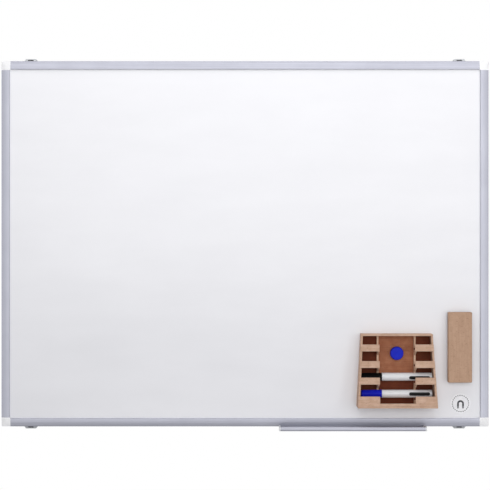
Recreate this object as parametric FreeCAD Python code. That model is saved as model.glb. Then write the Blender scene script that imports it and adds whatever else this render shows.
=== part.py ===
"""Magnetic whiteboard for a wall, with its pen tray, wall clips and magnetic accessories.

Lengths are in millimetres. +X runs to the right along the board, +Y points into the wall and +Z
points up. The origin lies on the wall, in the middle of the four screw holes of the wall clips.
"""
import FreeCAD
import Part
import math
import os

V = FreeCAD.Vector

# Board: a steel-faced panel in an aluminium frame, held off the wall by its clips
BOARD_WIDTH = 1000.0
BOARD_HEIGHT = 750.0
WALL_GAP = 5.0
FACE_SHEET_THICK = 0.5
CORE_THICK = 10.0
BACK_SHEET_THICK = 0.4
PANEL_PLAY = 0.1

# Frame rail: one extruded section for all four sides, measured from its outer edge and its back
RAIL_WIDTH = 17.0
RAIL_WALL = 1.5
RAIL_FRONT_WALL = 1.6
RAIL_FACE_DROP = 3.0
RAIL_FACE_BULGE = 1.2
RAIL_EDGE_ROUND = 0.5
GROOVE_MOUTH = 3.4
GROOVE_CHAMBER = 7.0
GROOVE_LIP = 1.4
GROOVE_DEPTH = 2.6
GROOVE_MIDDLE = 6.5
GROOVE_PLAY = 0.2
KEY_SLOT_INSET = 7.6
KEY_SLOT_WIDTH = 8.0
KEY_SLOT_HEIGHT = 1.7
SCREW_PORT_INSET = 3.2
SCREW_PORT_HEIGHT = 12.2
SCREW_PORT_PLAY = 0.1

# Corners: a moulded cap, a flat steel angle inside and a screw into the horizontal rail
CORNER_SIZE = 18.5
CORNER_ROUND = 3.0
KEY_REACH = 40.0
KEY_PLAY = 0.1
SCREW_RADIUS = 1.4
SCREW_LENGTH = 30.0
SCREW_HEAD_RADIUS = 2.6
SCREW_HEAD_THICK = 1.8
SCREW_HEAD_RECESS = 0.3
SCREW_HEAD_PLAY = 0.2
SCREW_DRIVE_RADIUS = 1.1
SCREW_DRIVE_DEPTH = 1.0

# Wall clips: a bent steel bracket and a plastic glide that runs in the rail's outer groove
CLIP_FROM_END = 60.0
CLIP_WIDTH = 25.6
CLIP_METAL = 2.0
CLIP_FORWARD = 11.0
CLIP_LIP_RUN = 3.0
CLIP_LIP_CLEARANCE = 0.3
CLIP_SIDE_TAPER = 2.5
CLIP_WALL_REACH = 26.0
CLIP_HOLE_INSET = 12.0
CLIP_HOLE_RADIUS = 2.6
CLIP_CORNER_ROUND = 3.0
CLIP_WINDOW_PLAY = 0.4
CLIP_BEND_ROUND = 1.0
GLIDE_LENGTH = 10.5
GLIDE_BASE_THICK = 2.4
GLIDE_BASE_DEPTH = 9.0
GLIDE_STUD_RADIUS = 2.0
GLIDE_STUD_PLAY = 0.1

# Pen tray: an extruded trough that hangs in the groove of the bottom rail, with two end caps
TRAY_LENGTH = 300.0
TRAY_FROM_RIGHT = 280.7
TRAY_WALL = 1.6
TRAY_REACH = 36.0
TRAY_DROP = 5.7
TRAY_LIP_RISE = 2.4
TRAY_FRAME_GAP = 1.0
TRAY_STEP_RUN = 3.0
TRAY_HEEL = 5.0
TRAY_NOSE_ROUND = 3.4
TRAY_LIP_ROUND = 0.7
TRAY_CAP_THICK = 3.0
TRAY_CAP_RISE = 0.5
TRAY_CAP_ROUND = 1.2

# Organiser: a glued fibreboard rack with four tiers, leaning front and flared sides
RACK_FROM_RIGHT = 190.5
RACK_FROM_BOTTOM = 42.0
RACK_HEIGHT = 149.0
RACK_TOP_WIDTH = 146.0
RACK_BOTTOM_WIDTH = 162.0
RACK_TOP_DEPTH = 30.0
RACK_BOTTOM_DEPTH = 54.0
RACK_BOARD = 4.0
RACK_EDGE_ROUND = 0.5
RACK_NOTCH_WIDTH = 72.0
RACK_NOTCH_LIP = 5.5
RACK_FIRST_RIM = 23.5
RACK_LAST_RIM_DROP = 21.0
RACK_TIERS = 4
LOWEST_STEP_SHARE = 1.14
SLAT_HEIGHT = 14.0
LEDGE_BELOW_RIM = 7.0
LOWEST_LEDGE_BELOW_RIM = 3.4
LEDGE_THICK = 4.0
LEDGE_TILT = math.radians(4.0)
DIVIDER_SPINE_DEPTH = 6.0
POCKET_PLAY = 1.0
SEAT_GAP = 0.2
RACK_MAGNET_RADIUS = 6.0
RACK_MAGNET_THICK = 2.5
RACK_MAGNET_INSET = 16.0
RACK_MAGNET_PLAY = 0.1

# Markers: capped pens that lie along X on the two lowest ledges
MARKER_LENGTH = 145.0
MARKER_RADIUS = 8.2
MARKER_BORE_RADIUS = 7.0
MARKER_REST_GAP = 0.25
MARKER_CAP_LENGTH = 42.0
MARKER_CAP_END_RADIUS = 7.7
MARKER_CAP_WALL = 1.5
MARKER_CAP_END_ROUND = 1.4
MARKER_CAP_PLAY = 0.06
MARKER_CAP_GAP = 0.4
MARKER_RING_WIDTH = 1.2
MARKER_RING_DEPTH = 0.5
MARKER_RING_INSET = 3.0
MARKER_SEAT_RADIUS = 6.5
MARKER_SEAT_LENGTH = 14.0
MARKER_NOSE_LENGTH = 9.0
MARKER_NOSE_RADIUS = 4.2
MARKER_NIB_RADIUS = 2.5
MARKER_NIB_LENGTH = 6.0
MARKER_NIB_PLAY = 0.05
MARKER_NIB_ROUND = 1.6
MARKER_FRONT_WALL = 3.0
MARKER_INK_PLAY = 0.3
MARKER_PLUG_HEAD = 4.0
MARKER_PLUG_SPIGOT = 8.0
MARKER_PLUG_PLAY = 0.05
MARKER_PLUG_ROUND = 1.2

# Round magnet: a moulded shell over a ferrite disc, on the back board of the organiser
BUTTON_RADIUS = 14.0
BUTTON_TOP_RADIUS = 13.2
BUTTON_HEIGHT = 9.0
BUTTON_ROUND = 2.2
BUTTON_FROM_RACK_TOP = 40.5
BUTTON_ASIDE = 1.5
DISC_RADIUS = 10.8
DISC_THICK = 5.0
DISC_PLAY = 0.1

# Eraser: a fibreboard block with a felt pad, and two disc magnets in the block
ERASER_FROM_RIGHT = 60.6
ERASER_FROM_BOTTOM = 163.2
ERASER_WIDTH = 48.5
ERASER_HEIGHT = 144.0
ERASER_BLOCK_THICK = 16.0
ERASER_FELT_THICK = 5.0
ERASER_FELT_INSET = 1.0
ERASER_EDGE_ROUND = 2.0
ERASER_CORNER_ROUND = 2.2
ERASER_MAGNET_RADIUS = 9.0
ERASER_MAGNET_THICK = 4.0
ERASER_MAGNET_SPACING = 80.0
ERASER_MAGNET_PLAY = 0.1

# Cuts run past the metal by this much, and places within this distance count as the same
OVERRUN = 1.0
SAME_PLACE = 0.001

# Sizes that follow from the ones above
PANEL_THICK = FACE_SHEET_THICK + CORE_THICK + BACK_SHEET_THICK
CHANNEL_HEIGHT = PANEL_THICK + 2 * PANEL_PLAY
CHANNEL_FLOOR = GROOVE_LIP + GROOVE_DEPTH + RAIL_WALL
KEY_SLOT_BACK = RAIL_WALL + CHANNEL_HEIGHT + RAIL_WALL
RAIL_DEPTH = KEY_SLOT_BACK + KEY_SLOT_HEIGHT + RAIL_FRONT_WALL
SCREW_PORT_RADIUS = SCREW_RADIUS + SCREW_PORT_PLAY
PANEL_BACK = WALL_GAP + RAIL_WALL + PANEL_PLAY
PANEL_FRONT = PANEL_BACK + PANEL_THICK
SEAT = PANEL_FRONT + SEAT_GAP
BOARD_RIGHT = BOARD_WIDTH / 2
BOARD_TOP = BOARD_HEIGHT / 2
CLIP_STAND = GROOVE_PLAY + GLIDE_BASE_THICK
RACK_X = BOARD_RIGHT - RACK_FROM_RIGHT
RACK_Z = -BOARD_TOP + RACK_FROM_BOTTOM
RACK_RIM_RISE = RACK_HEIGHT - RACK_FIRST_RIM - RACK_LAST_RIM_DROP
RACK_TIER_PITCH = RACK_RIM_RISE / (RACK_TIERS - 2 + LOWEST_STEP_SHARE)
POCKET_ROOM = 2 * MARKER_RADIUS + POCKET_PLAY


def block(x_span, wall_span, z_span):
    """Box between two X values, two distances from the wall and two heights."""
    corner = V(x_span[0], -wall_span[1], z_span[0])
    return Part.makeBox(x_span[1] - x_span[0], wall_span[1] - wall_span[0], z_span[1] - z_span[0], corner)


def prism(points, travel):
    """Solid of a closed polygon moved along a vector."""
    outline = Part.makePolygon(points + points[:1])
    return Part.Face(outline).extrude(travel)


def spun_about_x(profile):
    """Solid of revolution about X from points of distance along X and radius."""
    points = [V(along, 0, radius) for along, radius in profile]
    outline = Part.makePolygon(points + points[:1])
    return Part.Face(outline).revolve(V(0, 0, 0), V(1, 0, 0), 360)


def rounded(shape, radius, wanted):
    """Copy of a shape with the edges that a test picks rounded."""
    return shape.makeFillet(radius, [edge for edge in shape.Edges if wanted(edge)])


def runs_along(edge, direction):
    """True for a straight edge parallel to a direction."""
    if not isinstance(edge.Curve, (Part.Line, Part.LineSegment)):
        return False
    along = edge.Vertexes[-1].Point - edge.Vertexes[0].Point
    return along.cross(direction).Length < SAME_PLACE


def passes(edge, y=None, z=None):
    """True for an edge whose middle lies at the given Y and Z, where they are given."""
    middle = edge.CenterOfMass
    y_fits = y is None or abs(middle.y - y) < SAME_PLACE
    z_fits = z is None or abs(middle.z - z) < SAME_PLACE
    return y_fits and z_fits


def mirrored_x(shape):
    """Left-hand copy of a right-hand shape."""
    return shape.mirror(V(0, 0, 0), V(1, 0, 0))


def mirrored_z(shape):
    """Lower copy of an upper shape."""
    return shape.mirror(V(0, 0, 0), V(0, 0, 1))


def moved(shape, x=0.0, y=0.0, z=0.0):
    """Copy of a shape moved by an offset."""
    copy = shape.copy()
    copy.translate(V(x, y, z))
    return copy


# Panel


def panel_sheet(near, thick):
    """One layer of the panel, from a distance off the wall."""
    half_x = BOARD_RIGHT - CHANNEL_FLOOR - PANEL_PLAY
    half_z = BOARD_TOP - CHANNEL_FLOOR - PANEL_PLAY
    return block((-half_x, half_x), (near, near + thick), (-half_z, half_z))


def panel():
    """The three layers of the panel by name."""
    core_near = PANEL_BACK + BACK_SHEET_THICK
    return {
        "backing_sheet": panel_sheet(PANEL_BACK, BACK_SHEET_THICK),
        "core_panel": panel_sheet(core_near, CORE_THICK),
        "writing_sheet": panel_sheet(core_near + CORE_THICK, FACE_SHEET_THICK),
    }


# Frame, drawn as a top rail whose outer face lies at Z zero


def on_section(inward, forward):
    """Point of the rail's section, from its outer edge inwards and from its back forwards."""
    return V(0, -(WALL_GAP + forward), -inward)


def frame_bar(width, length):
    """Bar with the frame's outer outline, along X from zero."""
    back_outer = on_section(0, 0)
    back_inner = on_section(width, 0)
    front_inner = on_section(width, RAIL_DEPTH)
    crest_inner = on_section(RAIL_WIDTH, RAIL_DEPTH)
    crest = on_section(RAIL_WIDTH / 2, RAIL_DEPTH - RAIL_FACE_DROP / 2 + RAIL_FACE_BULGE)
    front_outer = on_section(0, RAIL_DEPTH - RAIL_FACE_DROP)
    edges = [Part.makeLine(back_outer, back_inner), Part.makeLine(back_inner, front_inner)]
    if width > RAIL_WIDTH:
        edges.append(Part.makeLine(front_inner, crest_inner))
    edges.append(Part.Arc(crest_inner, crest, front_outer).toShape())
    edges.append(Part.makeLine(front_outer, back_outer))
    return Part.Face(Part.Wire(edges)).extrude(V(length, 0, 0))


def section_cut(length, inward_span, forward_span):
    """Straight hollow through a bar's whole length."""
    wall_span = (WALL_GAP + forward_span[0], WALL_GAP + forward_span[1])
    return block((-OVERRUN, length + OVERRUN), wall_span, (-inward_span[1], -inward_span[0]))


def rail(length):
    """Extruded rail along X, centred, with its panel channel, outer groove, key slot and screw port."""
    bar = frame_bar(RAIL_WIDTH, length)
    front_y = -(WALL_GAP + RAIL_DEPTH)
    outer_y = front_y + RAIL_FACE_DROP
    bar = rounded(bar, RAIL_EDGE_ROUND, lambda edge: runs_along(edge, V(1, 0, 0)) and (
        passes(edge, front_y, -RAIL_WIDTH) or passes(edge, outer_y, 0)))
    channel = (RAIL_WALL, RAIL_WALL + CHANNEL_HEIGHT)
    mouth = (GROOVE_MIDDLE - GROOVE_MOUTH / 2, GROOVE_MIDDLE + GROOVE_MOUTH / 2)
    chamber = (GROOVE_MIDDLE - GROOVE_CHAMBER / 2, GROOVE_MIDDLE + GROOVE_CHAMBER / 2)
    key_slot = (KEY_SLOT_BACK, KEY_SLOT_BACK + KEY_SLOT_HEIGHT)
    port_at = on_section(SCREW_PORT_INSET, SCREW_PORT_HEIGHT) - V(OVERRUN, 0, 0)
    hollows = [
        section_cut(length, (CHANNEL_FLOOR, RAIL_WIDTH + OVERRUN), channel),
        section_cut(length, (-OVERRUN, GROOVE_LIP + GROOVE_DEPTH), mouth),
        section_cut(length, (GROOVE_LIP, GROOVE_LIP + GROOVE_DEPTH), chamber),
        section_cut(length, (KEY_SLOT_INSET, KEY_SLOT_INSET + KEY_SLOT_WIDTH), key_slot),
        Part.makeCylinder(SCREW_PORT_RADIUS, length + 2 * OVERRUN, port_at, V(1, 0, 0)),
    ]
    return moved(bar.cut(hollows), x=-length / 2)


def turned_to_side(shape):
    """Top rail turned about Y so that its outer face looks to +X."""
    copy = shape.copy()
    copy.rotate(V(0, 0, 0), V(0, 1, 0), 90)
    return copy


def rails():
    """The four rails by name."""
    top = moved(rail(BOARD_WIDTH - 2 * CORNER_SIZE), z=BOARD_TOP)
    right = moved(turned_to_side(rail(BOARD_HEIGHT - 2 * CORNER_SIZE)), x=BOARD_RIGHT)
    return {
        "rail_top": top,
        "rail_bottom": mirrored_z(top),
        "rail_right": right,
        "rail_left": mirrored_x(right),
    }


# Corners, drawn as the top right one with its outer corner at zero


def flat_angle(inset, width, reach, forward_span):
    """Flat L-shaped plate in the plane of the frame, with both legs set in from the outer edges."""
    wall_span = (WALL_GAP + forward_span[0], WALL_GAP + forward_span[1])
    across = (-(inset + width), -inset)
    along = (-(CORNER_SIZE + reach), -inset)
    return block(along, wall_span, across).fuse(block(across, wall_span, along)).removeSplitter()


def corner_key():
    """Steel angle that joins two rails through the corner cap."""
    forward = (KEY_SLOT_BACK + KEY_PLAY, KEY_SLOT_BACK + KEY_SLOT_HEIGHT - KEY_PLAY)
    return flat_angle(KEY_SLOT_INSET + KEY_PLAY, KEY_SLOT_WIDTH - 2 * KEY_PLAY, KEY_REACH, forward)


def corner_screw():
    """Pan-head screw along X, with a round drive recess in its head."""
    head_face = on_section(SCREW_PORT_INSET, SCREW_PORT_HEIGHT) - V(SCREW_HEAD_RECESS, 0, 0)
    inwards = V(-1, 0, 0)
    head = Part.makeCylinder(SCREW_HEAD_RADIUS, SCREW_HEAD_THICK, head_face, inwards)
    shank = Part.makeCylinder(SCREW_RADIUS, SCREW_LENGTH, head_face, inwards)
    drive = Part.makeCylinder(SCREW_DRIVE_RADIUS, SCREW_DRIVE_DEPTH, head_face, inwards)
    return head.fuse(shank).cut(drive).removeSplitter()


def corner_cap():
    """Moulded corner with the rails' face on both sides and room for the panel, key and screw."""
    across = moved(frame_bar(CORNER_SIZE, CORNER_SIZE), x=-CORNER_SIZE)
    upright = moved(turned_to_side(across), z=-CORNER_SIZE)
    cap = across.common(upright).removeSplitter()
    cap = rounded(cap, CORNER_ROUND, lambda edge: runs_along(edge, V(0, 1, 0)) and
                  abs(edge.CenterOfMass.x) < SAME_PLACE and passes(edge, z=0))
    panel_wall = (WALL_GAP + RAIL_WALL, WALL_GAP + RAIL_WALL + CHANNEL_HEIGHT)
    panel_room = (-(CORNER_SIZE + OVERRUN), -CHANNEL_FLOOR)
    head_face = on_section(SCREW_PORT_INSET, SCREW_PORT_HEIGHT)
    inwards = V(-1, 0, 0)
    head_room = SCREW_HEAD_RECESS + SCREW_HEAD_THICK
    cap = cap.cut([
        block(panel_room, panel_wall, panel_room),
        flat_angle(KEY_SLOT_INSET, KEY_SLOT_WIDTH, OVERRUN, (KEY_SLOT_BACK, KEY_SLOT_BACK + KEY_SLOT_HEIGHT)),
        Part.makeCylinder(SCREW_PORT_RADIUS, CORNER_SIZE + OVERRUN, head_face, inwards),
        Part.makeCylinder(SCREW_HEAD_RADIUS + SCREW_HEAD_PLAY, head_room, head_face, inwards),
    ])
    return cap


def at_corners(shape):
    """Copies of a top right shape at all four corners, by corner."""
    top_right = moved(shape, x=BOARD_RIGHT, z=BOARD_TOP)
    bottom_right = mirrored_z(top_right)
    return {
        "top_left": mirrored_x(top_right),
        "top_right": top_right,
        "bottom_left": mirrored_x(bottom_right),
        "bottom_right": bottom_right,
    }


def corners():
    """Caps by corner, and the keys and screws as one group each."""
    pieces = {f"corner_cap_{place}": cap for place, cap in at_corners(corner_cap()).items()}
    pieces["corner_keys"] = Part.makeCompound(list(at_corners(corner_key()).values()))
    pieces["corner_screws"] = Part.makeCompound(list(at_corners(corner_screw()).values()))
    return pieces


# Wall clips, drawn on the top rail with the rail's outer face at Z zero


def clip_bracket():
    """Steel angle: a wall leg with the screw hole, a leg over the frame and a sloped lip round the glide."""
    over = CLIP_STAND + CLIP_METAL
    front = WALL_GAP + CLIP_FORWARD
    lip_foot = front + CLIP_LIP_RUN
    lip_inside = front + CLIP_LIP_RUN * CLIP_METAL / (over - CLIP_LIP_CLEARANCE) - CLIP_METAL
    side = [(0, over), (front, over), (lip_foot, CLIP_LIP_CLEARANCE),
            (lip_foot - CLIP_METAL, CLIP_LIP_CLEARANCE), (lip_inside, CLIP_STAND), (CLIP_METAL, CLIP_STAND),
            (CLIP_METAL, -CLIP_WALL_REACH), (0, -CLIP_WALL_REACH)]
    half = CLIP_WIDTH / 2
    angle = prism([V(-half, -distance, height) for distance, height in side], V(CLIP_WIDTH, 0, 0))
    angle = rounded(angle, CLIP_BEND_ROUND + CLIP_METAL,
                    lambda edge: runs_along(edge, V(1, 0, 0)) and passes(edge, 0, over))
    angle = rounded(angle, CLIP_BEND_ROUND,
                    lambda edge: runs_along(edge, V(1, 0, 0)) and passes(edge, -CLIP_METAL, CLIP_STAND))
    top_half = half - CLIP_SIDE_TAPER
    face = [(-half, -CLIP_WALL_REACH), (half, -CLIP_WALL_REACH), (half, CLIP_LIP_CLEARANCE), (top_half, over),
            (-top_half, over), (-half, CLIP_LIP_CLEARANCE)]
    angle = angle.common(prism([V(x, 0, height) for x, height in face], V(0, -lip_foot, 0)))
    angle = rounded(angle, CLIP_CORNER_ROUND,
                    lambda edge: runs_along(edge, V(0, 1, 0)) and passes(edge, z=-CLIP_WALL_REACH))
    wall_hole = Part.makeCylinder(CLIP_HOLE_RADIUS, CLIP_METAL + 2 * OVERRUN,
                                  V(0, OVERRUN, -CLIP_HOLE_INSET), V(0, -1, 0))
    stud_hole = Part.makeCylinder(GLIDE_STUD_RADIUS + GLIDE_STUD_PLAY, CLIP_METAL + 2 * OVERRUN,
                                  V(0, -(WALL_GAP + GROOVE_MIDDLE), CLIP_STAND - OVERRUN))
    window_half = GLIDE_LENGTH / 2 + CLIP_WINDOW_PLAY
    window_span = (WALL_GAP + GROOVE_MIDDLE, lip_foot + OVERRUN)
    window = block((-window_half, window_half), window_span, (0, CLIP_STAND))
    return angle.cut([wall_hole, stud_hole, window])


def groove_runner(x_span):
    """T-shaped runner that fills the groove of the rail with a running gap."""
    middle = WALL_GAP + GROOVE_MIDDLE
    head_half = GROOVE_CHAMBER / 2 - GROOVE_PLAY
    neck_half = GROOVE_MOUTH / 2 - GROOVE_PLAY
    head_top = -(GROOVE_LIP + GROOVE_PLAY)
    head_bottom = -(GROOVE_LIP + GROOVE_DEPTH - GROOVE_PLAY)
    head = block(x_span, (middle - head_half, middle + head_half), (head_bottom, head_top))
    neck = block(x_span, (middle - neck_half, middle + neck_half), (head_bottom, GROOVE_PLAY))
    return head.fuse(neck)


def clip_glide():
    """Plastic glide: a runner in the groove, a base outside it and a stud through the bracket."""
    x_span = (-GLIDE_LENGTH / 2, GLIDE_LENGTH / 2)
    middle = WALL_GAP + GROOVE_MIDDLE
    base = block(x_span, (middle - GLIDE_BASE_DEPTH / 2, middle + GLIDE_BASE_DEPTH / 2),
                 (GROOVE_PLAY, CLIP_STAND))
    stud = Part.makeCylinder(GLIDE_STUD_RADIUS, CLIP_METAL, V(0, -middle, CLIP_STAND))
    return groove_runner(x_span).fuse([base, stud]).removeSplitter()


def clips():
    """Brackets and glides by corner."""
    pieces = {}
    for name, shape in (("clip_bracket", clip_bracket()), ("clip_glide", clip_glide())):
        for place, copy in at_corners(moved(shape, x=-CLIP_FROM_END)).items():
            pieces[f"{name}_{place}"] = copy
    return pieces


# Pen tray, drawn below a frame whose lower edge lies at Z zero


def tray_point(forward, height):
    """Point of the tray's section, from the frame's back forwards and above its lower edge."""
    return V(0, -(WALL_GAP + forward), height)


def tray_trough(length):
    """Extruded trough along X from zero, with the runner that hangs in the rail's groove."""
    heel = GROOVE_MIDDLE - TRAY_HEEL
    step = RAIL_DEPTH + TRAY_FRAME_GAP
    front = RAIL_DEPTH + TRAY_REACH
    web_top = -GROOVE_PLAY
    floor = -(TRAY_DROP - TRAY_WALL)
    outline = [
        tray_point(heel, web_top),
        tray_point(step, web_top),
        tray_point(step + TRAY_STEP_RUN, floor),
        tray_point(front - TRAY_WALL, floor),
        tray_point(front - TRAY_WALL, TRAY_LIP_RISE),
        tray_point(front, TRAY_LIP_RISE),
        tray_point(front, -TRAY_DROP),
        tray_point(step + TRAY_STEP_RUN - TRAY_WALL, -TRAY_DROP),
        tray_point(step - TRAY_WALL, web_top - TRAY_WALL),
        tray_point(heel, web_top - TRAY_WALL),
    ]
    trough = prism(outline, V(length, 0, 0))
    front_y = -(WALL_GAP + front)
    along_x = V(1, 0, 0)
    trough = rounded(trough, TRAY_NOSE_ROUND,
                     lambda edge: runs_along(edge, along_x) and passes(edge, front_y, -TRAY_DROP))
    trough = rounded(trough, TRAY_NOSE_ROUND - TRAY_WALL,
                     lambda edge: runs_along(edge, along_x) and passes(edge, front_y + TRAY_WALL, floor))
    trough = rounded(trough, TRAY_LIP_ROUND,
                     lambda edge: runs_along(edge, along_x) and passes(edge, z=TRAY_LIP_RISE))
    runner = mirrored_z(groove_runner((0, length)))
    return trough.fuse(runner).removeSplitter()


def tray_cap():
    """Moulded end plate of the trough, along X from zero."""
    back = RAIL_DEPTH + TRAY_FRAME_GAP
    front = RAIL_DEPTH + TRAY_REACH
    top = TRAY_LIP_RISE + TRAY_CAP_RISE
    outline = [tray_point(back, -TRAY_DROP), tray_point(back, top), tray_point(front, top),
               tray_point(front, -TRAY_DROP)]
    plate = prism(outline, V(TRAY_CAP_THICK, 0, 0))
    front_y = -(WALL_GAP + front)
    along_x = V(1, 0, 0)
    plate = rounded(plate, TRAY_NOSE_ROUND,
                    lambda edge: runs_along(edge, along_x) and passes(edge, front_y, -TRAY_DROP))
    return rounded(plate, TRAY_CAP_ROUND,
                   lambda edge: runs_along(edge, along_x) and not passes(edge, z=-TRAY_DROP))


def pen_tray():
    """The trough and its two end caps by name."""
    start = BOARD_RIGHT - TRAY_FROM_RIGHT - TRAY_LENGTH / 2
    trough_length = TRAY_LENGTH - 2 * TRAY_CAP_THICK
    trough_start = start + TRAY_CAP_THICK
    cap = tray_cap()
    return {
        "pen_tray": moved(tray_trough(trough_length), x=trough_start, z=-BOARD_TOP),
        "tray_end_cap_left": moved(cap, x=start, z=-BOARD_TOP),
        "tray_end_cap_right": moved(cap, x=trough_start + trough_length, z=-BOARD_TOP),
    }


# Organiser, drawn with its back at Y zero, its middle at X zero and its foot at Z zero


def rack_front(height):
    """Depth of the leaning front at a height."""
    return RACK_BOTTOM_DEPTH - (RACK_BOTTOM_DEPTH - RACK_TOP_DEPTH) * height / RACK_HEIGHT


def rack_rim(tier):
    """Height of a tier's front rim, with tier 1 at the top and a taller step above the lowest."""
    if tier == RACK_TIERS:
        return RACK_FIRST_RIM
    return RACK_FIRST_RIM + RACK_TIER_PITCH * (RACK_TIERS - 1 - tier + LOWEST_STEP_SHARE)


def rack_form(side_inset, front_inset):
    """Whole outer form of the rack, drawn in at its sides and its front."""
    bottom_half = RACK_BOTTOM_WIDTH / 2 - side_inset
    top_half = RACK_TOP_WIDTH / 2 - side_inset
    plan = prism([V(-bottom_half, 0, 0), V(bottom_half, 0, 0), V(top_half, 0, RACK_HEIGHT),
                  V(-top_half, 0, RACK_HEIGHT)], V(0, -RACK_BOTTOM_DEPTH, 0))
    side = prism([V(-bottom_half, 0, 0), V(-bottom_half, -(RACK_BOTTOM_DEPTH - front_inset), 0),
                  V(-bottom_half, -(RACK_TOP_DEPTH - front_inset), RACK_HEIGHT),
                  V(-bottom_half, 0, RACK_HEIGHT)], V(2 * bottom_half, 0, 0))
    return plan.common(side)


def rack_part(form, x_span=None, wall_span=None, z_span=None):
    """Stretch of a form between limits along each axis; an axis with no limits is kept whole."""
    whole_x = (-RACK_BOTTOM_WIDTH / 2, RACK_BOTTOM_WIDTH / 2)
    limits = block(x_span or whole_x, wall_span or (0, RACK_BOTTOM_DEPTH), z_span or (0, RACK_HEIGHT))
    return form.common(limits)


def eased(board):
    """Fibreboard piece with all its edges slightly rounded."""
    whole = board.removeSplitter()
    return whole.makeFillet(RACK_EDGE_ROUND, whole.Edges)


def rack_magnet_places():
    """Middles of the four magnets in the back board, as X and Z."""
    half_x = RACK_TOP_WIDTH / 2 - RACK_BOARD - RACK_MAGNET_INSET
    low = RACK_BOARD + RACK_MAGNET_INSET
    high = RACK_HEIGHT - RACK_BOARD - RACK_MAGNET_INSET
    return [(x, z) for x in (-half_x, half_x) for z in (low, high)]


def rack_back():
    """Back board with a blind pocket for each magnet in its wall side."""
    inner = (RACK_BOARD, RACK_HEIGHT - RACK_BOARD)
    board = eased(rack_part(rack_form(RACK_BOARD, RACK_BOARD), wall_span=(0, RACK_BOARD), z_span=inner))
    pockets = [Part.makeCylinder(RACK_MAGNET_RADIUS + RACK_MAGNET_PLAY, RACK_MAGNET_THICK, V(x, 0, z),
                                 V(0, -1, 0)) for x, z in rack_magnet_places()]
    return board.cut(pockets)


def rack_magnets():
    """Disc magnets, flush with the wall side of the back board."""
    discs = [Part.makeCylinder(RACK_MAGNET_RADIUS, RACK_MAGNET_THICK, V(x, 0, z), V(0, -1, 0))
             for x, z in rack_magnet_places()]
    return Part.makeCompound(discs)


def ledge_drop(tier):
    """How far a tier's ledge lies below its rim, at the back of its slat."""
    return LOWEST_LEDGE_BELOW_RIM if tier == RACK_TIERS else LEDGE_BELOW_RIM


def ledge_top(tier, depth):
    """Height of a ledge's upper face at a depth, tilted so that a marker rolls to the back."""
    rim = rack_rim(tier)
    slat_back = rack_front(rim) - RACK_BOARD
    return rim - ledge_drop(tier) - (slat_back - depth) * math.tan(LEDGE_TILT)


def rack_ledge(tier):
    """Ledge of a tier across the whole inside."""
    half = RACK_BOTTOM_WIDTH / 2
    outline = [V(-half, -depth, ledge_top(tier, depth) - below) for depth, below in (
        (RACK_BOARD, 0), (RACK_BOTTOM_DEPTH, 0), (RACK_BOTTOM_DEPTH, LEDGE_THICK), (RACK_BOARD, LEDGE_THICK))]
    return prism(outline, V(2 * half, 0, 0)).common(rack_form(RACK_BOARD, RACK_BOARD))


def rack_spine():
    """Upright lath on the back board along the right edge of the notch."""
    x_span = (RACK_NOTCH_WIDTH / 2, RACK_NOTCH_WIDTH / 2 + RACK_BOARD)
    wall_span = (RACK_BOARD, RACK_BOARD + DIVIDER_SPINE_DEPTH)
    z_span = (RACK_BOARD, RACK_HEIGHT - RACK_BOARD)
    return rack_part(rack_form(RACK_BOARD, RACK_BOARD), x_span, wall_span, z_span)


def rack_tooth(tier):
    """Tooth of the right divider under a ledge, clear of the pocket below."""
    if tier == RACK_TIERS:
        front_foot = RACK_BOARD
        back_foot = RACK_BOARD
    else:
        front_foot = rack_rim(tier) - SLAT_HEIGHT
        back_foot = ledge_top(tier + 1, RACK_BOARD) + POCKET_ROOM
    slat_back = rack_front(front_foot) - RACK_BOARD
    outline = [V(RACK_NOTCH_WIDTH / 2, -depth, height) for depth, height in (
        (RACK_BOARD, ledge_top(tier, RACK_BOARD) - LEDGE_THICK),
        (RACK_BOTTOM_DEPTH, ledge_top(tier, RACK_BOTTOM_DEPTH) - LEDGE_THICK),
        (RACK_BOTTOM_DEPTH, front_foot), (slat_back, front_foot), (RACK_BOARD, back_foot))]
    return prism(outline, V(RACK_BOARD, 0, 0)).common(rack_form(RACK_BOARD, RACK_BOARD))


def rack_divider():
    """Comb-shaped upright board along the right edge of the notch, with a tooth under each ledge."""
    teeth = [rack_tooth(tier) for tier in range(1, RACK_TIERS + 1)]
    return eased(rack_spine().fuse(teeth))


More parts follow.
